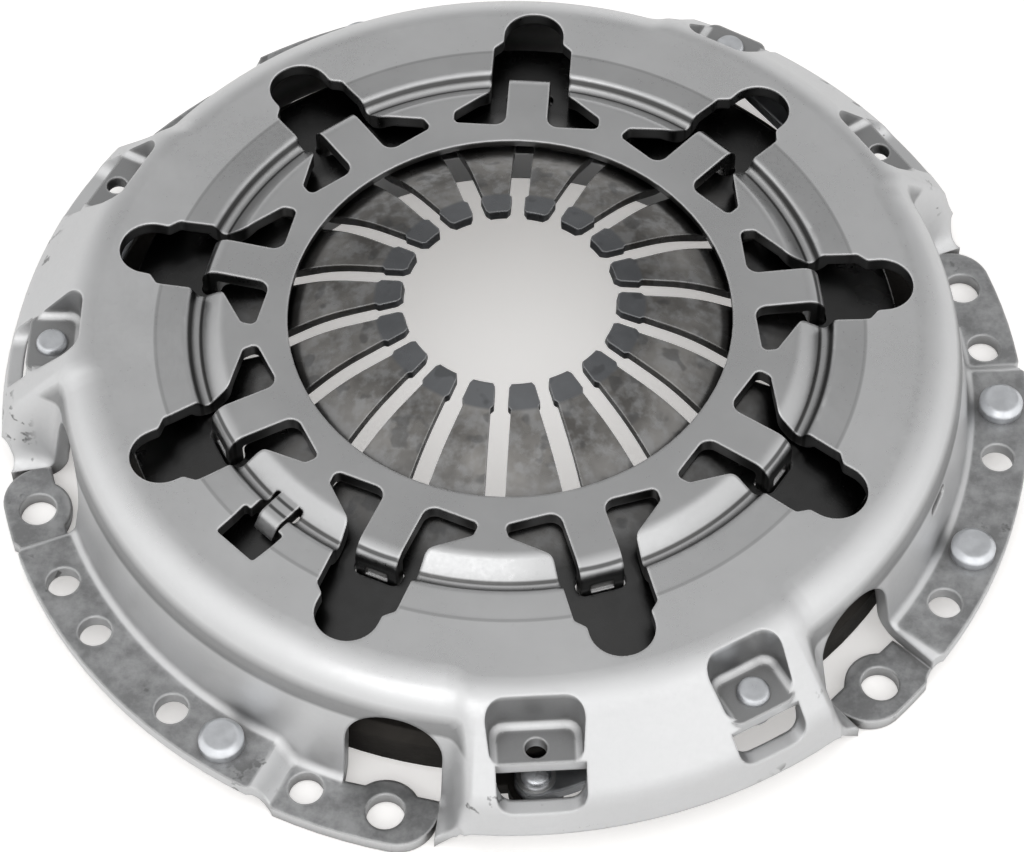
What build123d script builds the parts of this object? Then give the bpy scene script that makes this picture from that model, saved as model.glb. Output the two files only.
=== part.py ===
from build123d import *
import os
from math import atan, cos, degrees, hypot, radians, sin, tan

# Clutch cover assembly (pressure plate, diaphragm spring and cover) in its free state, off the flywheel.
# Millimetres and degrees. +Z points away from the flywheel, z = 0 is the face that bolts to the flywheel,
# the origin is on the clutch axis and one crown window of the cover lies on +Y.

# ---- Cover: one pressed steel sheet ----
sheet = 3.6                     # sheet thickness
least_bend_r = 0.6              # smallest inside bend of the pressing
cut_margin = 20.0               # cutting bodies reach this far past the part
ring_bore_r = 54.0              # hole in the release-side ring
ring_top_z = 39.0
ring_bore_chamfer = 1.6         # underside of the ring bore
ring_edge_r = 70.2              # where the flat ring starts to slope down
ring_edge_bend = 3.0
bead_r = 76.5                   # pressed bead, the upper fulcrum of the spring
bead_groove_z = 33.9
bead_groove_bend = 1.4
lip_r = 78.9                    # small lip outside the bead
lip_z = 37.3
lip_bend = 1.2
land_inner_r = 86.0
land_z = 36.5                   # flat land of the cover
land_bend = 6.0
crown_r = 98.0                  # the crown up to here is one full turn
crown_overlap = 1.0
shoulder_bend = 12.0
skirt_corner_r = 108.5          # where the land and the skirt would meet
skirt_draft = 11.4
foot_bend = 3.0
flange_r = 129.0                # outer edge of the bolting flange
balance_top_z = 8.2             # top of the raised middle part of each flange
lobe_corner_r = 106.0           # shoulder of the three lobes that cover the drive straps
lobe_knee_r = 124.2
lobe_knee_z = 18.3
lobe_knee_bend = 10.0
lobe_rim_r = 126.9
lobe_rim_z = 9.5

# ---- Flanges: three sectors, with angles from the middle of each ----
segment_count = 3
segment_pitch = 360 / segment_count
segment_start = -10.0           # middle of the first flange sector
pad_low_angle = -25.0           # steps from the raised middle down to the two bolting pads
pad_high_angle = 17.0
step_half_angle = 1.5
pad_end_angle = 35.8            # the pads end here on both sides
lobe_blend_angle = 4.0          # and the sheet rises to the lobe over this angle
blend_steps = [(0.0, 0.0), (0.25, 0.15), (0.5, 0.5), (0.75, 0.85), (1.0, 1.0)]
pad_corner_r = 9.5              # outer corner of the pads next to a lobe
notch_r = 5.0                   # notches in the outline, shallow at the steps and deep beside the lobes
step_notch_depth = 1.3
lobe_notch_depth = 4.2
lobe_notch_angle = 37.2
bolt_circle_r = 121.0
bolt_hole_r = 4.5
bolt_angle = 30.0
dowel_hole_r = 4.1
dowel_angle = 20.75
balance_hole_r = 4.0
balance_circle_r = 122.0
balance_angles = [10.5, 3.3, -10.3, -18.0]

# ---- Arched windows in the skirt, one behind each bolt hole ----
arch_half_width = 11.6
arch_top_z = 28.0
arch_bend = 11.0
pad_inner_r = 115.4
boss_r = 8.4                    # metal round the bolt hole where the arch opens the pad
boss_blend = 3.0

# ---- Windows in the crown, each with a tab that holds the lower fulcrum ring ----
windows_per_segment = 3
window_outer_r = 99.2
window_head_half = 7.7
window_neck_half = 10.0
window_step_r = 87.0
window_neck_r = 70.0
wing_half = 18.4
wing_outer_r = 62.6
wing_inner_r = 59.0
wing_bend = 1.6
window_bend = 3.0
window_step_bend = 1.4
window_head_bend = 7.55         # the head is all but a half circle
tab_half = 5.2
tab_root_r = 66.0
tab_bend = 4.6
tab_leg_r = 76.8                # outer face of the tab's leg
tab_lip_length = 5.4
tab_lip_rise = 0.8
trough_bend = 1.4               # inside bend of the cup, sharper than the wire
dimple_width = 5.6
dimple_height = 3.4
dimple_depth = 0.9
dimple_rise = 0.6               # above the middle of the tab's straight leg

# ---- Window and tongue that interrupt the bead beside the crown windows ----
tongue_angle = -130.3
tongue_half = 3.0
tongue_slit = 1.6
tongue_root_r = 73.6
tongue_window_inner_r = 82.0
tongue_window_outer_r = 91.6
tongue_window_half_angle = 3.8
tongue_window_flare = 1.0
tongue_window_bend = 0.8
tongue_slit_bend = 0.4
tongue_tip_r = 83.0
tongue_tip_z = 32.2
tongue_tip_length = 2.6
tongue_bend = 2.5
tongue_root_rise = 0.3          # of the tongue above the ring at its root
tongue_root_overlap = 1.5
tongue_drop = 0.7               # along the flat of the tongue

# ---- Strap pockets on the lobes ----
strap_hole_r = 113.0            # radius of the two rivet holes of each strap
strap_angle = 13.2              # to each side of the middle of the lobe
ledge_z = 25.0
ledge_bend = 3.6
ledge_tip_bend = 3.0
slot_bend = 3.9
access_hole_r = 2.6
pocket_draft = 7.0              # lean of the pocket's walls
pocket_floor_bend = 2.4

access_side = -1                # the pocket with the access hole lies clockwise of the lobe's middle
access_inner_r = 106.7
access_outer_r = 116.9
access_half = 10.5
access_slot_offset = 0.9
access_slot_half = 10.3
access_slot_z = 15.9            # low edge of the slot under the ledge
rivet_side = 1
rivet_inner_r = 106.0
rivet_outer_r = 119.0
rivet_half = 8.7
rivet_slot_offset = -0.4
rivet_slot_half = 8.9
rivet_slot_z = 15.6
skirt_slot_angles = [11.0, -9.7]  # two small slots in the skirt of the first flange sector
skirt_slot_z = 22.8
skirt_slot_length = 9.0
skirt_slot_height = 3.2

# ---- Diaphragm spring ----
spring_t = 2.4
spring_outer_r = 96.0
spring_cone = 12.1              # slope of the outer ring in the free state
finger_root_r = 57.0            # where the fingers leave the cone
finger_crown_r = 45.0
finger_crown_z = 41.1
finger_tip_r = 26.2
finger_tip_z = 45.3
finger_root_bend = 12.0
finger_crown_bend = 42.0
fingers_per_window = 2
slot_tip_half = 1.65            # the slots are narrow between the finger tips
slot_half = 2.42
slot_step_r = 32.4
slot_step_bend = 0.5
finger_corner = 0.9
eye_gap = 0.8                   # room round each tab in the spring's eyes
eye_bend = 2.2
eye_mouth_bend = 1.5
seat_gap = 0.05                 # seats that touch in service

# ---- Lower fulcrum ring ----
wire_r = 1.8

# ---- Pressure plate ----
plate_r = 107.2
plate_bore_r = 72.0
plate_face_z = 2.4              # friction face in the free state
plate_web = 10.0                # from the friction face to the web's top
plate_rim_top = 12.5            # from the friction face to the rim's top
plate_rim_inner_r = 99.0
plate_rim_chamfer = 2.5
plate_edge_chamfer = 1.0
ridge_r = 93.0                  # ridge that the spring presses on
ridge_half = 2.2
ridge_foot_half = 4.5
ridge_gap = 0.25                # running gap under the spring
ridge_outer_drop = 1.0          # foot of the ridge's outer slope below the rim's top
ridge_notch_width = 9.0
ridge_notch_floor = 1.5         # above the web
lug_half = 9.0
lug_end_r = 6.5
lug_top = 6.2                   # from the friction face to the seat of the straps
lug_relief = 2.0                # underside of the lugs above the friction face
lug_blend = 6.0
strap_recess = 104.4            # flat on the rim, clear of the straps
plate_travel = 6.0              # from the free state to the end of the release stroke

# ---- Drive straps and rivets ----
leaf_t = 0.7
leaf_count = 4
leaf_gap = 0.04
leaf_half = 5.0
leaf_flat = 7.0                 # flat length beyond each rivet hole
leaf_room = 0.3                 # from the leaves' outer edge to the relief in the lobe
leaf_bend = 10.0
strap_rivet_r = 2.7
rivet_play = 0.05               # radial room round a rivet shank
cover_rivet_head_r = 3.9
cover_rivet_head_h = 1.6
plate_rivet_head_r = 3.5
plate_rivet_head_h = 1.6
closing_head_r = 4.3
closing_head_h = 1.6
rivet_ease = 0.64               # chamfer of the strap rivets' heads
washer_r = 4.6
washer_t = 0.8
balance_rivet_head_r = 5.4
balance_rivet_head_h = 3.8
balance_rivet_foot_h = 1.4
balance_rivet_ease = 1.33
balance_rivet_places = [(0, 0), (0, 2), (1, 0), (2, 1)]  # flange sector and balance hole of each

# ---- Worked out from the sizes above ----
window_pitch = segment_pitch / windows_per_segment
window_angles = [segment_start + window_pitch * (k + 0.5) for k in range(windows_per_segment * segment_count)]
finger_pitch = window_pitch / fingers_per_window
finger_angles = [window_angles[0] + finger_pitch * k for k in range(len(window_angles) * fingers_per_window)]
segment_angles = [segment_start - segment_pitch * k for k in range(segment_count)]
lobe_angles = [angle - segment_pitch / 2 for angle in segment_angles]
draft_rate = tan(radians(skirt_draft))
cone_rate = tan(radians(spring_cone))
nose_z = bead_groove_z - sheet
nose_r = bead_groove_bend + sheet
spring_top_z = nose_z + nose_r - (nose_r + seat_gap) / cos(radians(spring_cone))
spring_rise = spring_t / cos(radians(spring_cone))
tab_inner_r = tab_leg_r - sheet
wire_ring_r = hypot(tab_leg_r + seat_gap + wire_r, tab_half)
wire_ring_z = (spring_top_z - spring_rise - (wire_ring_r - bead_r) * cone_rate
               - (wire_r + seat_gap) / cos(radians(spring_cone)))
lip_rate = tab_lip_rise / tab_lip_length
trough_z = (wire_ring_z - (wire_r + seat_gap) * hypot(1, lip_rate)
            - (wire_ring_r - tab_leg_r) * lip_rate)
ridge_top_z = spring_top_z - spring_rise - (ridge_r + ridge_half - bead_r) * cone_rate - ridge_gap
lug_seat_z = plate_face_z + lug_top
strap_pack = leaf_count * leaf_t + (leaf_count - 1) * leaf_gap
ledge_under_z = ledge_z - sheet
strap_half_span = strap_hole_r * sin(radians(strap_angle))
strap_mid_r = strap_hole_r * cos(radians(strap_angle))
access_ledge = (access_side, access_inner_r, access_outer_r, access_half)
access_slot = (access_slot_offset, access_slot_half, access_slot_z)
rivet_ledge = (rivet_side, rivet_inner_r, rivet_outer_r, rivet_half)
rivet_slot = (rivet_slot_offset, rivet_slot_half, rivet_slot_z)
above_all = ring_top_z + cut_margin
far_out = flange_r + cut_margin


def turned(shape, angle):
    """The shape, built on +X, turned about the clutch axis."""
    return Rot(0, 0, angle) * shape


def offset_corners(points, distance):
    """Corners of the line that runs `distance` to the right of an open line of straight runs."""
    normals = []
    for (x0, z0), (x1, z1) in zip(points, points[1:]):
        length = hypot(x1 - x0, z1 - z0)
        normals.append(((z1 - z0) / length, (x0 - x1) / length))
    pairs = zip([normals[0]] + normals, normals + [normals[-1]])
    corners = []
    for (x, z), (before, after) in zip(points, pairs):
        share = distance / (1 + before[0] * after[0] + before[1] * after[1])
        corners.append((x + share * (before[0] + after[0]), z + share * (before[1] + after[1])))
    return corners


def bent_sheet(points, bends, thickness):
    """Section of a bent sheet, in the XZ plane, under an upper line of straight runs and its bend radii."""
    under = offset_corners(points, thickness)
    under_bends = []
    for (x0, z0), (x1, z1), (x2, z2), bend in zip(points, points[1:], points[2:], bends):
        left_turn = (x1 - x0) * (z2 - z1) - (z1 - z0) * (x2 - x1) > 0
        under_bends.append(bend + thickness if left_turn else max(bend - thickness, least_bend_r))
    upper_line = FilletPolyline(*points, radius=bends)
    under_line = FilletPolyline(*under, radius=under_bends)
    ends = Line(upper_line @ 1, under_line @ 1) + Line(under_line @ 0, upper_line @ 0)
    return Plane.XZ * make_face(upper_line + under_line + ends)


def plan_prism(points, bends, low_z, high_z):
    """Upright prism on a closed plan outline with rounded corners."""
    outline = make_face(FilletPolyline(*points, radius=bends, close=True))
    return Pos(0, 0, low_z) * extrude(outline, high_z - low_z)


def radial_prism(points, bends, inner_r, outer_r):
    """Prism that runs outward along +X on a closed (tangent, height) outline."""
    outline = make_face(FilletPolyline(*points, radius=bends, close=True))
    return Plane.YZ.offset(inner_r) * extrude(outline, outer_r - inner_r)


def skirt_r(z):
    """Outer radius of the skirt above the flanges."""
    return skirt_corner_r + (land_z - z) * draft_rate


# ---------------------------------------------------------------- cover

def crown_third():
    line = [(ring_bore_r, ring_top_z), (ring_edge_r, ring_top_z), (bead_r, bead_groove_z),
            (lip_r, lip_z), (land_inner_r, land_z), (crown_r, land_z)]
    section = bent_sheet(line, [ring_edge_bend, bead_groove_bend, lip_bend, land_bend], sheet)
    bowl = revolve(section, axis=Axis.Z, revolution_arc=segment_pitch)
    relief = Cone(ring_bore_r + ring_bore_chamfer, ring_bore_r, ring_bore_chamfer,
                  align=(Align.CENTER, Align.CENTER, Align.MIN))
    return bowl - Pos(0, 0, ring_top_z - sheet) * relief


def flange_profile(top_z):
    """Upper line and bends of the sheet from the land out to a flange at top_z."""
    points = [(crown_r - crown_overlap, land_z), (skirt_corner_r, land_z), (skirt_r(top_z), top_z), (flange_r, top_z)]
    return points, [shoulder_bend, foot_bend]


def lobe_profile():
    points = [(crown_r - crown_overlap, land_z), (lobe_corner_r, land_z),
              (lobe_knee_r, lobe_knee_z), (lobe_rim_r, lobe_rim_z)]
    return points, [shoulder_bend, lobe_knee_bend]


def mixed(first, second, share):
    """Profile that lies the given share of the way from the first to the second."""
    points = [(r0 + (r1 - r0) * share, z0 + (z1 - z0) * share)
              for (r0, z0), (r1, z1) in zip(first[0], second[0])]
    return points, [b0 + (b1 - b0) * share for b0, b1 in zip(first[1], second[1])]


def sector(profile, start, end):
    section = bent_sheet(*profile, sheet)
    return turned(revolve(section, axis=Axis.Z, revolution_arc=end - start), start)


def blend(first, second, start, end):
    """S-shaped transition of the sheet from one profile to the next."""
    return loft([turned(bent_sheet(*mixed(first, second, share), sheet), start + (end - start) * step)
                 for step, share in blend_steps])


def skirt_third():
    """Skirt from the middle of one flange, on +X, round a lobe to the middle of the next flange."""
    pad = flange_profile(sheet)
    raised = flange_profile(balance_top_z)
    lobe = lobe_profile()
    high, low, half = pad_high_angle, segment_pitch + pad_low_angle, step_half_angle
    pad_end, next_pad = pad_end_angle, segment_pitch - pad_end_angle
    return [
        sector(raised, 0, high - half),
        blend(raised, pad, high - half, high + half),
        sector(pad, high + half, pad_end),
        blend(pad, lobe, pad_end, pad_end + lobe_blend_angle),
        sector(lobe, pad_end + lobe_blend_angle, next_pad - lobe_blend_angle),
        blend(lobe, pad, next_pad - lobe_blend_angle, next_pad),
        sector(pad, next_pad, low - half),
        blend(pad, raised, low - half, low + half),
        sector(raised, low + half, segment_pitch),
    ]


def crown_window():
    """Plan of one crown window, on +Y, round the root of its tab."""
    side = [(tab_half, tab_root_r), (tab_half, wing_inner_r), (wing_half, wing_inner_r), (wing_half, wing_outer_r),
            (window_neck_half, window_neck_r), (window_neck_half, window_step_r),
            (window_head_half, window_step_r + window_neck_half - window_head_half),
            (window_head_half, window_outer_r)]
    bends = [0, window_bend, wing_bend, wing_bend, window_bend, window_step_bend, window_step_bend,
             window_head_bend]
    mirrored = [(-x, y) for x, y in reversed(side)]
    return plan_prism(side + mirrored, bends + bends[::-1], trough_z, above_all)


def tab():
    """Tab on +X that leaves the ring, turns down through the spring and cups the lower fulcrum ring."""
    lip_r_end = tab_leg_r + tab_lip_length
    line = [(tab_root_r - window_bend * 2, ring_top_z), (tab_leg_r, ring_top_z), (tab_leg_r, trough_z),
            (lip_r_end, trough_z + tab_lip_rise)]
    section = bent_sheet(line, [tab_bend, trough_bend], sheet)
    body = extrude(section, tab_half, both=True)
    dimple_z = (ring_top_z - tab_bend + wire_ring_z + wire_r) / 2 + dimple_rise
    dimple = Pos(tab_leg_r, 0, dimple_z) * Box(dimple_depth * 2, dimple_width, dimple_height)
    return body - dimple


def tongue_cut():
    """Plan of the window and slits round the tongue, on +X."""
    slit_half = tongue_half + tongue_slit
    half = tan(radians(tongue_window_half_angle))
    side = [(tongue_root_r, slit_half), (tongue_window_inner_r, slit_half),
            (tongue_window_inner_r, tongue_window_inner_r * half + tongue_window_flare),
            (tongue_window_outer_r, tongue_window_outer_r * half)]
    bends = [tongue_slit / 2, tongue_slit_bend, tongue_window_bend, tongue_window_bend]
    mirrored = [(x, -y) for x, y in reversed(side)]
    return plan_prism(side + mirrored, bends + bends[::-1], trough_z, above_all)


def tongue():
    root_z = ring_top_z - (tongue_root_r - ring_edge_r) * (ring_top_z - bead_groove_z) / (bead_r - ring_edge_r)
    top_z = root_z + tongue_root_rise
    line = [(tongue_root_r - tongue_root_overlap, top_z), (tongue_tip_r - tongue_tip_length, top_z - tongue_drop),
            (tongue_tip_r, tongue_tip_z)]
    return extrude(bent_sheet(line, [tongue_bend], sheet), tongue_half, both=True)


def arch_cuts():
    """Opening in the skirt behind a bolt hole on +X: an arch through the skirt and the pad's inner edge."""
    arch = radial_prism([(-arch_half_width, sheet), (-arch_half_width, arch_top_z),
                         (arch_half_width, arch_top_z), (arch_half_width, sheet)],
                        [0, arch_bend, arch_bend, 0], plate_rim_inner_r, far_out)
    floor = Pos(0, 0, -sheet) * extrude(Rectangle(pad_inner_r - plate_rim_inner_r, arch_half_width * 2,
                                                  align=(Align.MIN, Align.CENTER)), sheet * 3)
    floor = Pos(plate_rim_inner_r, 0, 0) * floor
    boss = Pos(bolt_circle_r, 0, -sheet) * extrude(Circle(boss_r), sheet * 3)
    return arch, floor - boss


def ledge_outline(inner_r, outer_r, half, grow):
    """Rounded plan of a strap pocket on +X, grown on its inner side and flanks."""
    points = [(inner_r - grow, -half - grow), (outer_r, -half - grow), (outer_r, half + grow),
              (inner_r - grow, half + grow)]
    bends = [ledge_bend + grow, ledge_tip_bend, ledge_tip_bend, ledge_bend + grow]
    return make_face(FilletPolyline(*points, radius=bends, close=True))


def lobe_envelope():
    """Solid inside the outer surface of a lobe, on +X."""
    points, bends = lobe_profile()
    outer_line = FilletPolyline(*points, radius=bends)
    closing = Polyline(outer_line @ 1, (crown_r - crown_overlap, lobe_rim_z), outer_line @ 0)
    arc = segment_pitch - 2 * (pad_end_angle + lobe_blend_angle)
    return turned(revolve(Plane.XZ * make_face(outer_line + closing), axis=Axis.Z, revolution_arc=arc), -arc / 2)


def pocket_solid(side, inner_r, outer_r, half):
    """Walls and ledge of one strap pocket of a lobe whose middle lies on +X."""
    grow = sheet * (1 - sin(radians(pocket_draft))) / cos(radians(pocket_draft))
    walls = extrude(ledge_outline(inner_r, outer_r, half, grow), land_z - ledge_under_z, taper=-pocket_draft)
    ledge = extrude(ledge_outline(inner_r, outer_r, half, 0), sheet)
    walls, ledge = [turned(Pos(0, 0, ledge_under_z) * piece, side * strap_angle) for piece in (walls, ledge)]
    return (walls & lobe_envelope()) + ledge


def pocket_cut(side, inner_r, outer_r, half, slot_offset, slot_half, slot_low_z, hole_r):
    """Hollow, slot and rivet hole of one strap pocket of a lobe whose middle lies on +X."""
    hollow = extrude(ledge_outline(inner_r, far_out, half, 0), ring_top_z - ledge_z, taper=-pocket_draft)
    hollow = Pos(0, 0, ledge_z) * fillet(hollow.faces().sort_by(Axis.Z)[0].edges(), pocket_floor_bend)
    edges = [(slot_offset - slot_half, slot_low_z), (slot_offset + slot_half, slot_low_z)]
    outer = [(slot_offset - slot_half, ledge_z), *edges, (slot_offset + slot_half, ledge_z)]
    under = [(slot_offset - slot_half, ledge_under_z), *edges, (slot_offset + slot_half, ledge_under_z)]
    slot = radial_prism(outer, [0, slot_bend, slot_bend, 0], outer_r, far_out)
    slot += radial_prism(under, [0, slot_bend, slot_bend, 0], strap_hole_r - closing_head_r, outer_r)
    relief = [(-half, ledge_under_z - strap_pack), (-half, ledge_under_z),
              (half, ledge_under_z), (half, ledge_under_z - strap_pack)]
    slot += radial_prism(relief, [0, 0, 0, 0], strap_hole_r - closing_head_r, strap_hole_r + leaf_half + leaf_room)
    hole = Pos(strap_hole_r, 0, ledge_z) * Cylinder(hole_r, sheet * 4)
    return turned(hollow + slot + hole, side * strap_angle)


def skirt_slots():
    cuts = []
    for angle in skirt_slot_angles:
        slot = Plane.YZ.offset(crown_r) * extrude(SlotOverall(skirt_slot_length, skirt_slot_height),
                                                  far_out - crown_r)
        cuts.append(turned(Pos(0, 0, skirt_slot_z) * slot, segment_angles[0] + angle))
    return cuts


def flange_holes():
    """Holes of one flange, each drilled at its place within the repeating third."""
    holes = []
    sizes = [(bolt_circle_r, bolt_hole_r, bolt_angle), (bolt_circle_r, bolt_hole_r, -bolt_angle),
             (bolt_circle_r, dowel_hole_r, dowel_angle)]
    sizes += [(balance_circle_r, balance_hole_r, angle) for angle in balance_angles]
    for circle_r, hole_r, angle in sizes:
        drill = Pos(circle_r, 0, balance_top_z / 2) * Cylinder(hole_r, balance_top_z * 2)
        holes.append(turned(drill, angle % segment_pitch))
    return holes


def outline_cuts():
    """Notches at the steps of the outline, and the rounding of the pads' corners next to the lobe."""
    step_notch, lobe_notch = [Pos(flange_r - depth + notch_r, 0, 0) * Cylinder(notch_r, balance_top_z * 6)
                              for depth in (step_notch_depth, lobe_notch_depth)]
    centre_x = ((flange_r - pad_corner_r) ** 2 - pad_corner_r ** 2) ** 0.5
    centre = Pos(centre_x, -pad_corner_r, 0)
    beyond = Rectangle(flange_r, pad_corner_r, align=(Align.MIN, Align.MIN)) - Circle(pad_corner_r)
    corner = centre * extrude(beyond, sheet * 2, both=True)
    return [turned(step_notch, pad_high_angle), turned(step_notch, segment_pitch + pad_low_angle),
            turned(lobe_notch, lobe_notch_angle), turned(lobe_notch, segment_pitch - lobe_notch_angle),
            turned(corner, pad_end_angle), turned(mirror(corner, about=Plane.XZ), segment_pitch - pad_end_angle)]


def cover_third():
    """Repeating third of the cover, from the middle of one flange, on +X, to the middle of the next."""
    lobe_angle = segment_pitch / 2
    windows = [window_pitch * (k + 0.5) for k in range(windows_per_segment)]
    body = crown_third().fuse(*skirt_third())
    body = body.fuse(turned(pocket_solid(*access_ledge), lobe_angle), turned(pocket_solid(*rivet_ledge), lobe_angle))
    cuts = [turned(pocket_cut(*access_ledge, *access_slot, access_hole_r), lobe_angle),
            turned(pocket_cut(*rivet_ledge, *rivet_slot, strap_rivet_r), lobe_angle)]
    for angle in (bolt_angle, segment_pitch - bolt_angle):
        cuts += [turned(cut, angle) for cut in arch_cuts()]
    cuts += flange_holes() + outline_cuts()
    cuts += [turned(crown_window(), angle - 90) for angle in windows]
    return (body - cuts).fuse(*[turned(tab(), angle) for angle in windows])


def cover():
    third = cover_third()
    body = turned(third, segment_angles[0]).fuse(*[turned(third, angle) for angle in segment_angles[1:]])
    cuts = [turned(tongue_cut(), tongue_angle)] + skirt_slots()
    return (body - cuts).fuse(turned(tongue(), tongue_angle))


# ---------------------------------------------------------------- spring side

def diaphragm_spring():
    root_z = spring_top_z + (bead_r - finger_root_r) * cone_rate
    edge_z = spring_top_z - (spring_outer_r - bead_r) * cone_rate
    line = [(finger_tip_r, finger_tip_z), (finger_crown_r, finger_crown_z), (finger_root_r, root_z),
            (spring_outer_r, edge_z)]
    disc = revolve(bent_sheet(line, [finger_crown_bend, finger_root_bend], spring_t), axis=Axis.Z)
    return disc - [turned(finger_slot(), angle) for angle in finger_angles]


def finger_slot():
    """Slot between two fingers on +X, from the open tips to the eye that a tab passes through."""
    eye_half = tab_half + eye_gap
    mouth_r = finger_tip_r - spring_t
    side = [(mouth_r, slot_tip_half + finger_corner * 2), (finger_tip_r + finger_corner, slot_tip_half),
            (slot_step_r - slot_half + slot_tip_half, slot_tip_half), (slot_step_r, slot_half),
            (tab_inner_r - eye_gap, slot_half), (tab_inner_r - eye_gap, eye_half),
            (tab_leg_r + eye_gap, eye_half)]
    bends = [0, finger_corner, slot_step_bend, slot_step_bend, eye_mouth_bend, eye_bend, eye_bend]
    mirrored = [(x, -y) for x, y in reversed(side)]
    return plan_prism(side + mirrored, bends + bends[::-1], plate_face_z, above_all)


def fulcrum_ring():
    return Pos(0, 0, wire_ring_z) * Torus(wire_ring_r, wire_r)


# ---------------------------------------------------------------- pressure plate

def plate_lug():
    """Lug on +X that carries the end of a strap, with its rivet hole."""
    height = lug_top - lug_relief
    plan = Rectangle(strap_hole_r - strap_recess, lug_half * 2, align=(Align.MIN, Align.CENTER))
    lug = Pos(strap_recess, 0, 0) * plan + Pos(strap_hole_r, 0, 0) * Circle(lug_end_r)
    root = Pos(strap_recess, 0, 0) * Rectangle(plate_r - strap_recess + lug_blend / 2, lug_half * 2 + lug_blend,
                                               align=(Align.MIN, Align.CENTER))
    return Pos(0, 0, plate_face_z + lug_relief) * extrude(lug + root, height)


def pressure_plate():
    web_z = plate_face_z + plate_web
    rim_z = plate_face_z + plate_rim_top
    section = Polyline((plate_bore_r, plate_face_z), (plate_r - plate_edge_chamfer, plate_face_z),
                       (plate_r, plate_face_z + plate_edge_chamfer), (plate_r, rim_z - plate_rim_chamfer),
                       (plate_r - plate_rim_chamfer, rim_z), (plate_rim_inner_r, rim_z),
                       (ridge_r + ridge_foot_half, rim_z - ridge_outer_drop), (ridge_r + ridge_half, ridge_top_z),
                       (ridge_r - ridge_half, ridge_top_z), (ridge_r - ridge_foot_half, web_z),
                       (plate_bore_r, web_z), close=True)
    body = revolve(Plane.XZ * make_face(section), axis=Axis.Z)
    recess_depth = rim_z - lug_seat_z
    recess_end_z = ledge_under_z - strap_pack - plate_travel - ridge_gap
    recess_line = [(-plate_r, lug_seat_z), (-strap_half_span + leaf_flat, lug_seat_z),
                   (strap_half_span - leaf_flat, recess_end_z), (plate_r, recess_end_z),
                   (plate_r, rim_z + recess_depth), (-plate_r, rim_z + recess_depth)]
    recess = radial_prism(recess_line, [0, 0, 0, 0, 0, 0], strap_recess, far_out)
    for angle in lobe_angles:
        body -= turned(recess, angle)
    for angle in window_angles:
        notch = Pos(ridge_r, 0, web_z + ridge_notch_floor) * Box(ridge_foot_half * 2, ridge_notch_width, recess_depth * 2,
                                                   align=(Align.CENTER, Align.CENTER, Align.MIN))
        body -= turned(notch, angle + window_pitch / 2)
    for angle in lobe_angles:
        body += turned(plate_lug(), angle - strap_angle)
        body -= turned(Pos(strap_hole_r, 0, lug_seat_z) * Cylinder(strap_rivet_r, lug_top * 4),
                       angle - strap_angle)
    return body


# ---------------------------------------------------------------- straps and rivets

def strap_leaf(level):
    """One leaf of a strap pack, for a lobe whose middle lies on +X. Level 0 lies on the plate lug."""
    lift = level * (leaf_t + leaf_gap)
    plate_z = lug_seat_z + lift + leaf_t
    cover_z = ledge_under_z - strap_pack + lift + leaf_t
    reach = strap_half_span + leaf_half
    flat_end = strap_half_span - leaf_flat
    line = [(-reach, plate_z), (-flat_end, plate_z), (flat_end, cover_z), (reach, cover_z)]
    section = bent_sheet(line, [leaf_bend, leaf_bend], leaf_t)
    strip = turned(extrude(section, leaf_half, both=True), 90)
    ends = [Pos(0, side * strap_half_span, 0) * Circle(leaf_half) for side in (-1, 1)]
    plan = Rectangle(leaf_half * 2, strap_half_span * 2) + ends
    shank_r = strap_rivet_r + rivet_play
    plan -= [Pos(0, side * strap_half_span, 0) * Circle(shank_r) for side in (-1, 1)]
    return Pos(strap_mid_r, 0, 0) * (strip & extrude(plan, above_all))


def turned_rivet(outline):
    """Rivet on the Z axis, from its half outline of (radius, height) points."""
    return revolve(Plane.XZ * make_face(Polyline(*outline, close=True)), axis=Axis.Z)


def cover_strap_rivet():
    """Rivet that holds a strap pack under the cover's ledge."""
    low_z = ledge_under_z - strap_pack
    rivet = turned_rivet([(0, low_z - closing_head_h), (closing_head_r - rivet_ease, low_z - closing_head_h),
                          (closing_head_r, low_z - closing_head_h + rivet_ease), (closing_head_r, low_z),
                          (strap_rivet_r, low_z), (strap_rivet_r, ledge_z), (cover_rivet_head_r, ledge_z),
                          (cover_rivet_head_r, ledge_z + rivet_ease),
                          (cover_rivet_head_r - rivet_ease, ledge_z + cover_rivet_head_h),
                          (0, ledge_z + cover_rivet_head_h)])
    return Pos(strap_hole_r, 0, 0) * rivet


def plate_strap_rivet():
    """Rivet that holds a strap pack and its washer on a plate lug."""
    low_z = plate_face_z + lug_relief
    high_z = lug_seat_z + strap_pack + washer_t
    rivet = turned_rivet([(0, low_z - closing_head_h), (closing_head_r - rivet_ease, low_z - closing_head_h),
                          (closing_head_r, low_z - closing_head_h + rivet_ease), (closing_head_r, low_z),
                          (strap_rivet_r, low_z), (strap_rivet_r, high_z), (plate_rivet_head_r, high_z),
                          (plate_rivet_head_r, high_z + rivet_ease),
                          (plate_rivet_head_r - rivet_ease, high_z + plate_rivet_head_h),
                          (0, high_z + plate_rivet_head_h)])
    return Pos(strap_hole_r, 0, 0) * rivet


def plate_strap_washer():
    ring = Circle(washer_r) - Circle(strap_rivet_r + rivet_play)
    return Pos(strap_hole_r, 0, lug_seat_z + strap_pack) * extrude(ring, washer_t)


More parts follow.
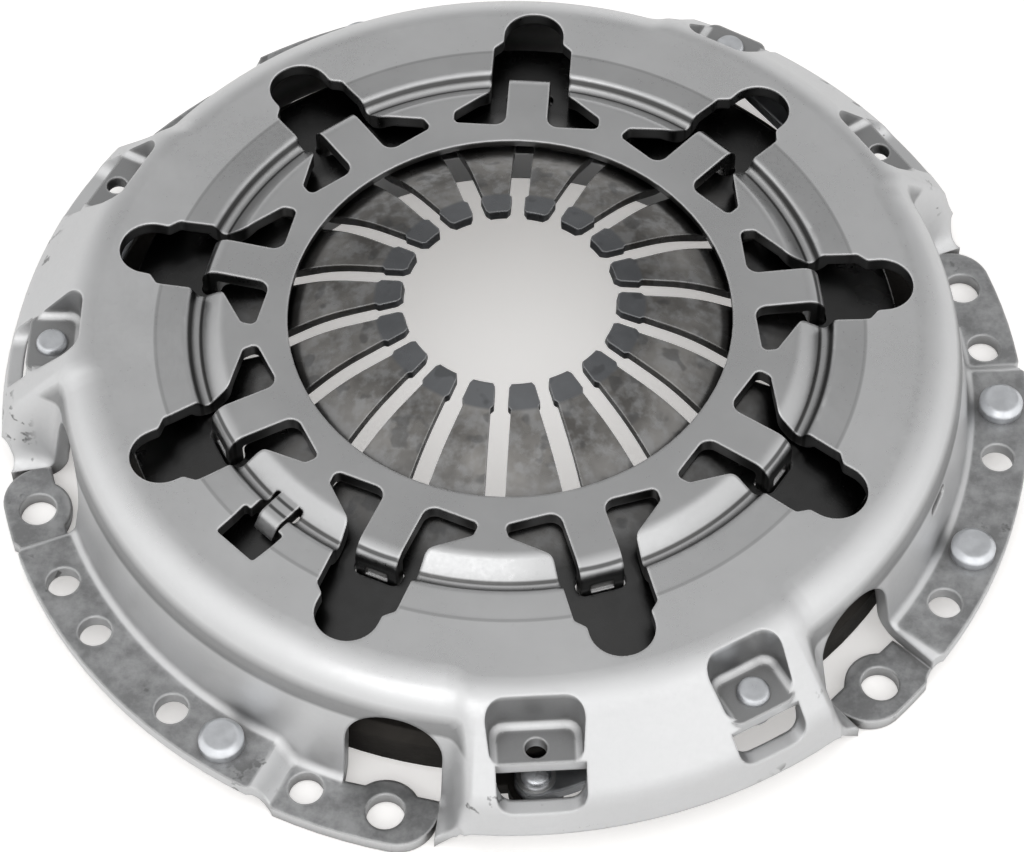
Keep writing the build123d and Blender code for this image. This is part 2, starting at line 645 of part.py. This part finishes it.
def balance_rivet():
    """Rivet in a balance hole of a raised flange."""
    low_z = balance_top_z - sheet
    foot_r = balance_hole_r + balance_rivet_foot_h / 2
    rivet = turned_rivet([(0, low_z - balance_rivet_foot_h), (balance_hole_r, low_z - balance_rivet_foot_h),
                          (foot_r, low_z), (balance_hole_r, low_z), (balance_hole_r, balance_top_z),
                          (balance_rivet_head_r, balance_top_z),
                          (balance_rivet_head_r, balance_top_z + balance_rivet_head_h - balance_rivet_ease),
                          (balance_rivet_head_r - balance_rivet_ease, balance_top_z + balance_rivet_head_h),
                          (0, balance_top_z + balance_rivet_head_h)])
    return Pos(balance_circle_r, 0, 0) * rivet


def write(name, solids):
    """Write one node, which may be a group of separate solids."""
    shape = solids[0] if len(solids) == 1 else Compound(children=solids)
    shape.label = name
    export_step(shape, os.path.join("parts", name + ".step"))


def main():
    os.makedirs("parts", exist_ok=True)
    write("cover", [cover()])
    write("diaphragm_spring", [diaphragm_spring()])
    write("fulcrum_ring", [fulcrum_ring()])
    write("pressure_plate", [pressure_plate()])
    for lobe_number, angle in enumerate(lobe_angles, 1):
        for level in range(leaf_count):
            name = f"strap_{lobe_number}_leaf_{level + 1}"
            write(name, [turned(strap_leaf(level), angle)])
    write("cover_strap_rivets", [turned(cover_strap_rivet(), angle + strap_angle) for angle in lobe_angles])
    write("plate_strap_rivets", [turned(plate_strap_rivet(), angle - strap_angle) for angle in lobe_angles])
    write("plate_strap_washers", [turned(plate_strap_washer(), angle - strap_angle) for angle in lobe_angles])
    write("balance_rivets", [turned(balance_rivet(), segment_angles[segment] + balance_angles[hole])
                             for segment, hole in balance_rivet_places])


main()
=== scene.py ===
import math

import bmesh
import bpy
from mathutils import Matrix, Vector


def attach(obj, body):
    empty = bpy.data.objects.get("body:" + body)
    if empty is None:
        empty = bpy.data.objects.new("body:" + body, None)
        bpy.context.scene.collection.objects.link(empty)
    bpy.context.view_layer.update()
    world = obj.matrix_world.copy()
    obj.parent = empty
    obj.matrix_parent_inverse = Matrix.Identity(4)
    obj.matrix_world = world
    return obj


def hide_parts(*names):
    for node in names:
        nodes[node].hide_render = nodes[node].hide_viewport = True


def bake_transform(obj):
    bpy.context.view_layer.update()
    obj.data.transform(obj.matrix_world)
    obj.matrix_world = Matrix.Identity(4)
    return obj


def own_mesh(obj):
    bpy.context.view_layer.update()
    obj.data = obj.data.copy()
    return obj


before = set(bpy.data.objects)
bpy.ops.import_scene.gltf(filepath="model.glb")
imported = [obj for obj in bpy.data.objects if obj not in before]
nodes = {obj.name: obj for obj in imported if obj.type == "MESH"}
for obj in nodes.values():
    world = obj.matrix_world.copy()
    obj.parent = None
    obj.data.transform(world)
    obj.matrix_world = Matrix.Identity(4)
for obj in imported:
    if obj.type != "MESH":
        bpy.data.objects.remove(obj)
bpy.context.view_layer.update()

scene = bpy.context.scene


# ---------------------------------------------------------------- camera

# The photograph's camera, in units of the ring's bore radius from the centre of the ring's top.
UNIT = 0.054
RING_TOP = 0.039
ELEVATION = math.radians(55.00)
ROLL = math.radians(-0.62)
YAW = math.radians(-4.37)
DISTANCE = 14.130
SHIFT = (-0.003, 0.514)
FOCAL_PIXELS = 3146.8
IMAGE_WIDTH = 1024
SENSOR_WIDTH = 36
CLIP_END = 20


def make_camera():
    right = Vector((1, 0, 0))
    up = Vector((0, math.sin(ELEVATION), math.cos(ELEVATION)))
    back = Vector((0, -math.cos(ELEVATION), math.sin(ELEVATION)))
    place = back * DISTANCE - right * SHIFT[0] - up * SHIFT[1]
    x_axis = right * math.cos(ROLL) + up * math.sin(ROLL)
    y_axis = up * math.cos(ROLL) - right * math.sin(ROLL)
    turn = Matrix.Rotation(-YAW, 3, "Z")
    axes = Matrix((turn @ x_axis, turn @ y_axis, turn @ back)).transposed()
    matrix = axes.to_4x4()
    matrix.translation = turn @ place * UNIT + Vector((0, 0, RING_TOP))
    data = bpy.data.cameras.new("camera")
    data.sensor_width = SENSOR_WIDTH
    data.lens = FOCAL_PIXELS / IMAGE_WIDTH * SENSOR_WIDTH
    data.clip_end = CLIP_END
    camera = bpy.data.objects.new("camera", data)
    camera.matrix_world = matrix
    scene.collection.objects.link(camera)
    scene.camera = camera


# ---------------------------------------------------------------- material helpers

OCCLUSION_SAMPLES = 6
BEVEL_SAMPLES = 4
GREEN_SHARE = 0.4                    # of a grey's blue tint, for a steel-like cast


class Nodes:
    """Adds shader nodes to a material or a world and joins them."""

    def __init__(self, owner, output="ShaderNodeOutputMaterial"):
        self.owner = owner
        owner.use_nodes = True
        self.tree = owner.node_tree
        self.tree.nodes.clear()
        self.output = self.add(output)
        self.coords = self.add("ShaderNodeTexCoord")

    @classmethod
    def material(cls, name):
        return cls(bpy.data.materials.new(name))

    def add(self, kind, **settings):
        node = self.tree.nodes.new(kind)
        for key, value in settings.items():
            setattr(node, key, value)
        return node

    def put(self, value, socket):
        """Links a socket, or sets a plain value on the socket itself."""
        if isinstance(value, bpy.types.NodeSocket):
            self.tree.links.new(value, socket)
        else:
            socket.default_value = value

    def noise(self, scale, detail, roughness, stretch=None):
        node = self.add("ShaderNodeTexNoise")
        vector = self.coords.outputs["Object"]
        if stretch:
            mapping = self.add("ShaderNodeMapping")
            self.put(vector, mapping.inputs["Vector"])
            mapping.inputs["Scale"].default_value = stretch
            vector = mapping.outputs["Vector"]
        self.put(vector, node.inputs["Vector"])
        node.inputs["Scale"].default_value = scale
        node.inputs["Detail"].default_value = detail
        node.inputs["Roughness"].default_value = roughness
        return node.outputs["Fac"]

    def ramp(self, value, low, high, out_low=0.0, out_high=1.0):
        """Goes from out_low at low to out_high at high, and stays level beyond them."""
        node = self.add("ShaderNodeMapRange", clamp=True)
        self.put(value, node.inputs["Value"])
        node.inputs["From Min"].default_value = low
        node.inputs["From Max"].default_value = high
        node.inputs["To Min"].default_value = out_low
        node.inputs["To Max"].default_value = out_high
        return node.outputs["Result"]

    def math(self, operation, a, b=0.0):
        node = self.add("ShaderNodeMath", operation=operation)
        self.put(a, node.inputs[0])
        self.put(b, node.inputs[1])
        return node.outputs[0]

    def product(self, first, *others):
        for other in others:
            first = self.math("MULTIPLY", first, other)
        return first

    def stain(self, tone, mask, color, amount):
        """Turns tone to color by amount where mask is 1."""
        return self.mix(self.product(mask, amount), tone, color)

    def mix(self, factor, a, b):
        node = self.add("ShaderNodeMix", data_type="RGBA")
        self.put(factor, node.inputs["Factor"])
        self.put(a, node.inputs["A"])
        self.put(b, node.inputs["B"])
        return next(s for s in node.outputs if s.type == "RGBA")

    def split(self, coordinates):
        node = self.add("ShaderNodeSeparateXYZ")
        self.put(self.coords.outputs[coordinates], node.inputs[0])
        return node.outputs

    def radius_and_height(self):
        """Distance from the clutch axis and height above the flywheel's face, in metres."""
        x, y, z = self.split("Object")
        squares = self.math("ADD", self.product(x, x), self.product(y, y))
        return self.math("SQRT", squares), z

    def facing_up(self):
        """1 on a face that looks up, 0 on a wall, -1 on an underside."""
        return self.split("Normal")["Z"]

    def occlusion(self, distance):
        node = self.add("ShaderNodeAmbientOcclusion", samples=OCCLUSION_SAMPLES)
        node.inputs["Distance"].default_value = distance
        return node.outputs["AO"]

    def bump(self, height, strength, distance, normal):
        node = self.add("ShaderNodeBump")
        self.put(height, node.inputs["Height"])
        node.inputs["Strength"].default_value = strength
        node.inputs["Distance"].default_value = distance
        self.put(normal, node.inputs["Normal"])
        return node.outputs["Normal"]

    def edge_round(self, radius):
        node = self.add("ShaderNodeBevel", samples=BEVEL_SAMPLES)
        node.inputs["Radius"].default_value = radius
        return node.outputs["Normal"]

    def edge_mask(self, rounded, low, high):
        """1 on the edges that the rounded normal softens, 0 on the flats."""
        node = self.add("ShaderNodeVectorMath", operation="DOT_PRODUCT")
        self.put(rounded, node.inputs[0])
        self.put(self.add("ShaderNodeNewGeometry").outputs["Normal"], node.inputs[1])
        return self.ramp(node.outputs["Value"], low, high, 1.0, 0.0)

    def surface(self, color, metallic, roughness, normal=None):
        shader = self.add("ShaderNodeBsdfPrincipled")
        self.put(color, shader.inputs["Base Color"])
        self.put(metallic, shader.inputs["Metallic"])
        self.put(roughness, shader.inputs["Roughness"])
        if normal is not None:
            self.put(normal, shader.inputs["Normal"])
        self.put(shader.outputs["BSDF"], self.output.inputs["Surface"])
        return self.owner


def grey(value, tint=0.0):
    """Grey with a little blue where tint is above 0."""
    return (value, value * (1 + tint * GREEN_SHARE), value * (1 + tint), 1.0)


# ---------------------------------------------------------------- materials

# A ramp's outputs where it fades a mask out instead of in.
FADE = (1.0, 0.0)

# Where the looks change, each as the start and end of a soft step: radii and heights in metres,
# and how far up a face looks.
LAND_R = (0.0856, 0.0866)            # the bead's ring ends and the land begins
SHOULDER_R = (0.104, 0.109)
WINDOW_OUTER_R = (0.1000, 0.1005)
WINDOW_Z = (0.031, 0.032)
BELOW_RING_Z = (0.0385, 0.0388)
FLANGE_R = (0.1125, 0.115)
FLANGE_TOP_Z = (0.0084, 0.0092)
POCKET_INNER_R = (0.1035, 0.1045)
POCKET_OUTER_R = (0.1185, 0.1205)
POCKET_FLOOR_Z = (0.0245, 0.0255)
POCKET_RIM_Z = (0.034, 0.036)
LEDGE_LOW_Z = (0.0246, 0.0248)
LEDGE_HIGH_Z = (0.0252, 0.0256)
SCUFF_R = (0.118, 0.121)
FINGER_TIP_R = (0.0324, 0.0332)
FINGER_ROOT_SHADE_R = (0.045, 0.056)
UNDER_BEAD_SHADE_R = (0.064, 0.07)
FRICTION_FACE_Z = (0.00245, 0.0026)
PLATE_BORE_R = (0.0765, 0.0785)
EDGE_TURN = (0.86, 0.97)             # how far the rounded normal leaves the face's own

# Painted shade lines along the creases beside the bead and at the land: radius and darkness, with
# one width for all.
CREASE_SHADE_LINES = ((0.0753, 0.9), (0.0779, 0.9), (0.0862, 0.3))
CREASE_WIDTH = 0.0006
CREASE_CORE = 0.4

# Lathe marks of the plate's ground and turned faces, in radians for each metre of radius.
TURNING_PITCH = 2400.0

# Zinc plate: its blue cast, and how much lighter and duller it gets where it was handled.
ZINC_TINT = 0.06
ZINC_SPREAD = 1.18
ZINC_DULLING = 0.14


def pressed_steel():
    """Cold-rolled sheet after pressing: satin, with drawing streaks and specks, painted shade, and
    a painted highlight on its upward edges.
    """
    n = Nodes.material("pressed_steel_sheet")
    radius, z = n.radius_and_height()
    up = n.facing_up()
    steepness = n.math("ABSOLUTE", up)
    cloud = n.noise(scale=28, detail=4, roughness=0.6)
    grain = n.noise(scale=900, detail=4, roughness=0.65)
    speck = n.noise(scale=420, detail=2, roughness=0.5)
    streak = n.noise(scale=60, detail=4, roughness=0.6, stretch=(1.0, 1.0, 6.0))
    tone = n.mix(n.ramp(cloud, 0.35, 0.68), grey(0.50, 0.01), grey(0.60, 0.01))
    tone = n.mix(n.ramp(streak, 0.55, 0.75, 0.0, 0.35), tone, grey(0.44, 0.02))
    tone = n.mix(n.ramp(speck, 0.70, 0.78, 0.0, 0.3), tone, grey(0.40))
    tone = n.mix(n.ramp(radius, *LAND_R, 0.6, 0.0), tone, grey(0.46, 0.01))
    tone = n.mix(n.ramp(radius, *LAND_R, 0.0, 0.65), tone, grey(0.70, 0.01))

    # the flat flanges are duller and darker than the drawn shell
    low_flat = n.product(n.ramp(up, 0.90, 0.97), n.ramp(z, *FLANGE_TOP_Z, *FADE))
    flange = n.product(n.ramp(radius, *FLANGE_R), low_flat)
    mottle = n.ramp(n.noise(scale=130, detail=5, roughness=0.7), 0.38, 0.64)
    flange_tone = n.mix(mottle, grey(0.21, 0.02), grey(0.42, 0.02))
    tone = n.stain(tone, flange, flange_tone, amount=0.85)

    # sheared window walls are dull, and are darkened further as painted shade deep in the windows;
    # the creases of the bead get painted shade lines
    dull_and_shaded_wall = n.product(n.ramp(steepness, 0.25, 0.5, *FADE),
                     n.ramp(radius, *WINDOW_OUTER_R, *FADE), n.ramp(z, *WINDOW_Z))
    tone = n.stain(tone, dull_and_shaded_wall, grey(0.12, 0.02), amount=0.8)
    below_ring = n.ramp(z, *BELOW_RING_Z, *FADE)
    for place, darkness in CREASE_SHADE_LINES:
        away = n.math("ABSOLUTE", n.math("SUBTRACT", radius, place))
        crease_shade = n.ramp(away, CREASE_WIDTH * CREASE_CORE, CREASE_WIDTH, darkness, 0.0)
        tone = n.stain(tone, crease_shade, grey(0.06), amount=below_ring)

    # painted shade on the walls and ledges of the drawn strap pockets
    pocket = n.product(n.ramp(radius, *POCKET_INNER_R), n.ramp(radius, *POCKET_OUTER_R, *FADE))
    side_height = n.product(n.ramp(z, *POCKET_FLOOR_Z), n.ramp(z, *POCKET_RIM_Z, *FADE))
    side = n.product(n.ramp(steepness, 0.35, 0.55, *FADE), side_height)
    ledge = n.product(n.ramp(z, *LEDGE_HIGH_Z, *FADE), n.ramp(z, *LEDGE_LOW_Z),
                      n.ramp(up, 0.96, 0.99))
    pocket_shade = n.product(n.math("MAXIMUM", side, ledge), 0.8)
    tone = n.mix(n.product(pocket, pocket_shade), tone, grey(0.24, 0.01))

    # small scuffs low on the lobes and skirt, and painted shade in the hollows from ambient
    # occlusion
    marks = n.ramp(n.noise(scale=210, detail=3, roughness=0.6), 0.60, 0.64)
    patches = n.ramp(n.noise(scale=38, detail=2, roughness=0.5), 0.52, 0.58)
    scuff = n.product(marks, patches, n.ramp(radius, *SCUFF_R))
    tone = n.stain(tone, scuff, grey(0.16), amount=0.8)
    hollow_shade = n.ramp(n.occlusion(distance=0.006), 0.35, 0.85, 0.75, 0.0)
    tone = n.mix(hollow_shade, tone, (0.10, 0.095, 0.09, 1))

    rough = n.ramp(cloud, 0.3, 0.7, 0.25, 0.37)
    rough = n.math("ADD", rough, n.ramp(grain, 0.3, 0.7, -0.04, 0.06))
    rough = n.math("ADD", rough, n.ramp(radius, *SHOULDER_R, 0.0, 0.14))
    normal = n.edge_round(radius=0.0010)
    # painted highlight: rounded edges that face up are lightened
    rim = n.product(n.edge_mask(normal, *EDGE_TURN), n.ramp(up, 0.7, 0.9))
    tone = n.stain(tone, rim, grey(0.85), amount=0.7)
    normal = n.bump(grain, strength=0.10, distance=0.00008, normal=normal)
    waves = n.noise(scale=70, detail=3, roughness=0.5)
    normal = n.bump(waves, strength=0.12, distance=0.0006, normal=normal)
    return n.surface(tone, metallic=1.0, roughness=rough, normal=normal)


def spring_steel():
    """Quenched spring steel: dark and mottled, with blue-grey finger tips, painted shade towards
    the roots and under the bead, and a painted highlight on its upward edges.
    """
    n = Nodes.material("hardened_spring_steel")
    radius, _ = n.radius_and_height()
    cloud = n.noise(scale=45, detail=4, roughness=0.6)
    grain = n.noise(scale=1100, detail=3, roughness=0.6)
    tone = n.mix(n.ramp(cloud, 0.38, 0.66), (0.115, 0.11, 0.104, 1), (0.27, 0.262, 0.25, 1))
    streak = n.noise(scale=240, detail=3, roughness=0.6, stretch=(1.0, 1.0, 0.2))
    tone = n.mix(n.ramp(streak, 0.45, 0.62, 0.0, 0.45), tone, grey(0.33, 0.03))
    # painted shade: the fingers darken towards their roots by the ring
    tone = n.mix(n.ramp(radius, *FINGER_ROOT_SHADE_R, 0.0, 0.6), tone, grey(0.09, 0.02))
    tip = n.ramp(radius, *FINGER_TIP_R, *FADE)
    tone = n.stain(tone, tip, grey(0.13, 0.12), amount=0.85)
    spot = n.ramp(n.noise(scale=160, detail=2, roughness=0.5), 0.60, 0.66)
    tone = n.stain(tone, spot, grey(0.07, 0.05), amount=0.5)
    # painted shade: the spring's outer part, under the cover's bead, is made nearly black
    tone = n.stain(tone, n.ramp(radius, *UNDER_BEAD_SHADE_R), grey(0.05), amount=0.9)
    rough = n.ramp(cloud, 0.3, 0.7, 0.20, 0.34)
    normal = n.edge_round(radius=0.0006)
    # painted highlight: rounded edges that face up are lightened
    rim = n.product(n.edge_mask(normal, *EDGE_TURN), n.ramp(n.facing_up(), 0.6, 0.8))
    tone = n.stain(tone, rim, grey(0.5), amount=0.5)
    normal = n.bump(grain, strength=0.12, distance=0.00008, normal=normal)
    waves = n.noise(scale=120, detail=3, roughness=0.5)
    normal = n.bump(waves, strength=0.10, distance=0.0004, normal=normal)
    return n.surface(tone, metallic=1.0, roughness=rough, normal=normal)


def cast_iron():
    """Grey iron: a dark sand-cast skin, with the ground friction face and turned bore brighter."""
    n = Nodes.material("sand_cast_iron")
    radius, z = n.radius_and_height()
    cloud = n.noise(scale=40, detail=4, roughness=0.6)
    grit = n.noise(scale=700, detail=5, roughness=0.7)
    tone = n.mix(n.ramp(cloud, 0.35, 0.7), (0.017, 0.015, 0.013, 1), (0.04, 0.036, 0.032, 1))
    turned = n.math("MAXIMUM", n.ramp(z, *FRICTION_FACE_Z, *FADE),
                    n.ramp(radius, *PLATE_BORE_R, *FADE))
    rings = n.math("SINE", n.product(radius, TURNING_PITCH))
    tone = n.mix(turned, tone, grey(0.55))
    rough = n.mix(turned, (0.72, 0.72, 0.72, 1), (0.3, 0.3, 0.3, 1))
    normal = n.edge_round(radius=0.0007)
    normal = n.bump(grit, strength=0.35, distance=0.0005, normal=normal)
    normal = n.bump(n.product(rings, turned), strength=0.08, distance=0.0001, normal=normal)
    metallic = n.ramp(turned, 0, 1, 0.75, 1.0)
    return n.surface(tone, metallic, rough, normal)


def zinc_steel(name, value, roughness):
    """Bright zinc plate with a faint blue cast and handling marks."""
    n = Nodes.material(name)
    cloud = n.noise(scale=260, detail=3, roughness=0.6)
    tone = n.mix(n.ramp(cloud, 0.35, 0.7), grey(value, ZINC_TINT),
                 grey(value * ZINC_SPREAD, ZINC_TINT))
    rough = n.ramp(cloud, 0.3, 0.7, roughness, roughness + ZINC_DULLING)
    normal = n.edge_round(radius=0.0011)
    pitting = n.noise(scale=1500, detail=3, roughness=0.6)
    normal = n.bump(pitting, strength=0.15, distance=0.00006, normal=normal)
    return n.surface(tone, metallic=1.0, roughness=rough, normal=normal)


def wire_steel():
    """Drawn wire and plain washers: fine lines along the wire over a dull grey."""
    n = Nodes.material("drawn_wire_steel")
    lines = n.noise(scale=900, detail=3, roughness=0.6, stretch=(0.1, 0.1, 4.0))
    tone = n.mix(n.ramp(lines, 0.35, 0.65), grey(0.38), grey(0.52))
    normal = n.bump(lines, strength=0.15, distance=0.00005, normal=n.edge_round(radius=0.0003))
    rough = n.ramp(lines, 0.3, 0.7, 0.28, 0.42)
    return n.surface(tone, metallic=1.0, roughness=rough, normal=normal)


# ---------------------------------------------------------------- pieces

def give(name, material):
    mesh = nodes[name].data
    mesh.materials.clear()
    mesh.materials.append(material)
    for polygon in mesh.polygons:
        polygon.material_index = 0


def dress_frame():
    give("cover", pressed_steel())
    give("diaphragm_spring", spring_steel())
    give("pressure_plate", cast_iron())
    wire = wire_steel()
    give("fulcrum_ring", wire)
    give("plate_strap_washers", wire)
    strap = zinc_steel("strap_spring_steel", value=0.30, roughness=0.3)
    for name in nodes:
        if name.startswith("strap_"):
            give(name, strap)
    give("cover_strap_rivets", zinc_steel("zinc_cover_rivet", value=0.62, roughness=0.26))
    # painted highlight: the plate's rivets get a lighter copy of the zinc than the cover's rivets
    give("plate_strap_rivets", zinc_steel("zinc_plate_rivet_highlit", value=0.82, roughness=0.22))
    give("balance_rivets", zinc_steel("zinc_balance_rivet", value=0.62, roughness=0.28))


# In the clutch, the diaphragm and the straps bend as the plate is drawn up: the diaphragm rocks on
# the bead, its fingers sink, and its rim rises with the plate. Here unbent copies of their CAD
# nodes stand for them: the diaphragm is cut at the bead into its fingers and its rim in sectors,
# and the strap leaves are copied whole.
FULCRUM_R = 0.0765
SECTORS = 18
SHARP = math.radians(32)
CUT_WELD = 1e-7

# The first lobe's direction. Fingers are counted from it too.
FIRST_LOBE = -70
LOBES = (1, 2, 3)
LEAVES = (1, 2, 3, 4)


def soft_copy(name, suffix):
    source = nodes[name]
    copy = bpy.data.objects.new(name + suffix, source.data.copy())
    scene.collection.objects.link(copy)
    return copy


def trimmed(name, suffix, planes):
    """Copy of a CAD node without what lies beyond each plane, on the side its normal points to."""
    copy = soft_copy(name, suffix)
    work = bmesh.new()
    work.from_mesh(copy.data)
    for place, normal in planes:
        geometry = [*work.verts, *work.edges, *work.faces]
        bmesh.ops.bisect_plane(work, geom=geometry, dist=CUT_WELD, plane_co=place,
                               plane_no=normal, clear_outer=True)
    for face in work.faces:
        face.smooth = True
    for edge in work.edges:
        edge.smooth = len(edge.link_faces) == 2 and edge.calc_face_angle() < SHARP
    work.to_mesh(copy.data)
    work.free()
    return copy


def heading(angle):
    return Vector((math.cos(angle), math.sin(angle), 0))


def diaphragm():
    step = math.tau / SECTORS
    middles = [math.radians(FIRST_LOBE) + step * k for k in range(SECTORS)]
    rims = [(heading(a) * FULCRUM_R, heading(a)) for a in middles]
    fingers = trimmed("diaphragm_spring", "_fingers", rims)
    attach(fingers, "cover_body")
    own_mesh(fingers)
    pieces = [fingers]
    for number, middle in enumerate(middles, 1):
        out = heading(middle)
        sides = [((0, 0, 0), heading(middle + step / 2 + math.pi / 2)),
                 ((0, 0, 0), heading(middle - step / 2 - math.pi / 2)), (out * FULCRUM_R, -out)]
        rim = trimmed("diaphragm_spring", f"_rim_{number}", sides)
        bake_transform(rim)
        pieces.append(rim)
    for piece in pieces:
        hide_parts("diaphragm_spring")


def straps():
    for lobe in LOBES:
        for level in LEAVES:
            name = f"strap_{lobe}_leaf_{level}"
            copy = soft_copy(name, "_flexing")
            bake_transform(copy)
            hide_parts(name)


# ---------------------------------------------------------------- studio

FLOOR_SIZE = 6.0
FLOOR_DROP = 0.0004                  # keeps the floor off the flange's lower face
KEY_WATTS = 1.8
FILL_WATTS = 0.7


def make_floor():
    """Pale floor, which the camera sees a little brighter than it lights the part."""
    mesh = bpy.data.meshes.new("floor")
    corners = [(-FLOOR_SIZE, -FLOOR_SIZE, 0), (FLOOR_SIZE, -FLOOR_SIZE, 0),
               (FLOOR_SIZE, FLOOR_SIZE, 0), (-FLOOR_SIZE, FLOOR_SIZE, 0)]
    mesh.from_pydata(corners, [], [(0, 1, 2, 3)])
    floor = bpy.data.objects.new("floor", mesh)
    floor.location.z = -FLOOR_DROP
    scene.collection.objects.link(floor)
    n = Nodes.material("pale_floor")
    material = n.surface((0.93, 0.925, 0.92, 1), metallic=0.0, roughness=0.7)
    lit = n.output.inputs["Surface"].links[0].from_socket
    glow = n.add("ShaderNodeEmission")
    glow.inputs["Color"].default_value = (0.35, 0.34, 0.33, 1)
    both = n.add("ShaderNodeAddShader")
    n.put(lit, both.inputs[0])
    n.put(glow.outputs[0], both.inputs[1])
    choose = n.add("ShaderNodeMixShader")
    n.put(n.add("ShaderNodeLightPath").outputs["Is Camera Ray"], choose.inputs[0])
    n.put(lit, choose.inputs[1])
    n.put(both.outputs[0], choose.inputs[2])
    n.put(choose.outputs[0], n.output.inputs["Surface"])
    mesh.materials.append(material)


def area_light(name, place, size, power):
    """Rectangular light that is aimed at the foot of the clutch axis."""
    data = bpy.data.lights.new(name, "AREA")
    data.shape = "RECTANGLE"
    data.size, data.size_y = size
    data.energy = power
    light = bpy.data.objects.new(name, data)
    light.location = place
    light.rotation_euler = (-Vector(place)).to_track_quat("-Z", "Y").to_euler()
    scene.collection.objects.link(light)


def make_world():
    """Soft studio: bright in front, grey above and behind, with darker gaps and a pale horizon."""
    world = bpy.data.worlds.new("studio")
    scene.world = world
    n = Nodes(world, "ShaderNodeOutputWorld")
    x, y, z = n.split("Generated")
    light = n.product(n.ramp(y, -0.15, 0.52, 1.25, 0.60), n.ramp(z, 0.15, 0.5, 0.82, 1.0))
    horizon = n.product(n.ramp(z, 0.0, 0.6, 0.5, 0.0), n.ramp(y, -0.4, 0.1))
    light = n.math("ADD", light, horizon)
    behind = n.product(n.ramp(y, 0.64, 0.74), n.ramp(y, 0.80, 0.90, *FADE))
    sideways = n.math("ABSOLUTE", x)
    beside = n.product(n.ramp(sideways, 0.10, 0.20), n.ramp(sideways, 0.30, 0.45, *FADE),
                       n.ramp(z, 0.6, 0.7))
    for gap, darkness in ((behind, 0.3), (beside, 0.2)):
        light = n.product(light, n.math("SUBTRACT", 1.0, n.product(gap, darkness)))
    background = n.add("ShaderNodeBackground")
    n.put(light, background.inputs["Color"])
    n.put(background.outputs[0], n.output.inputs["Surface"])


def make_studio():
    make_floor()
    make_world()
    area_light("key", place=(-0.25, -1.0, 1.1), size=(0.8, 0.6), power=KEY_WATTS)
    area_light("fill", place=(0.8, -0.9, 0.7), size=(0.7, 0.7), power=FILL_WATTS)
    scene.view_settings.view_transform = "Standard"


make_camera()
dress_frame()
diaphragm()
straps()
make_studio()
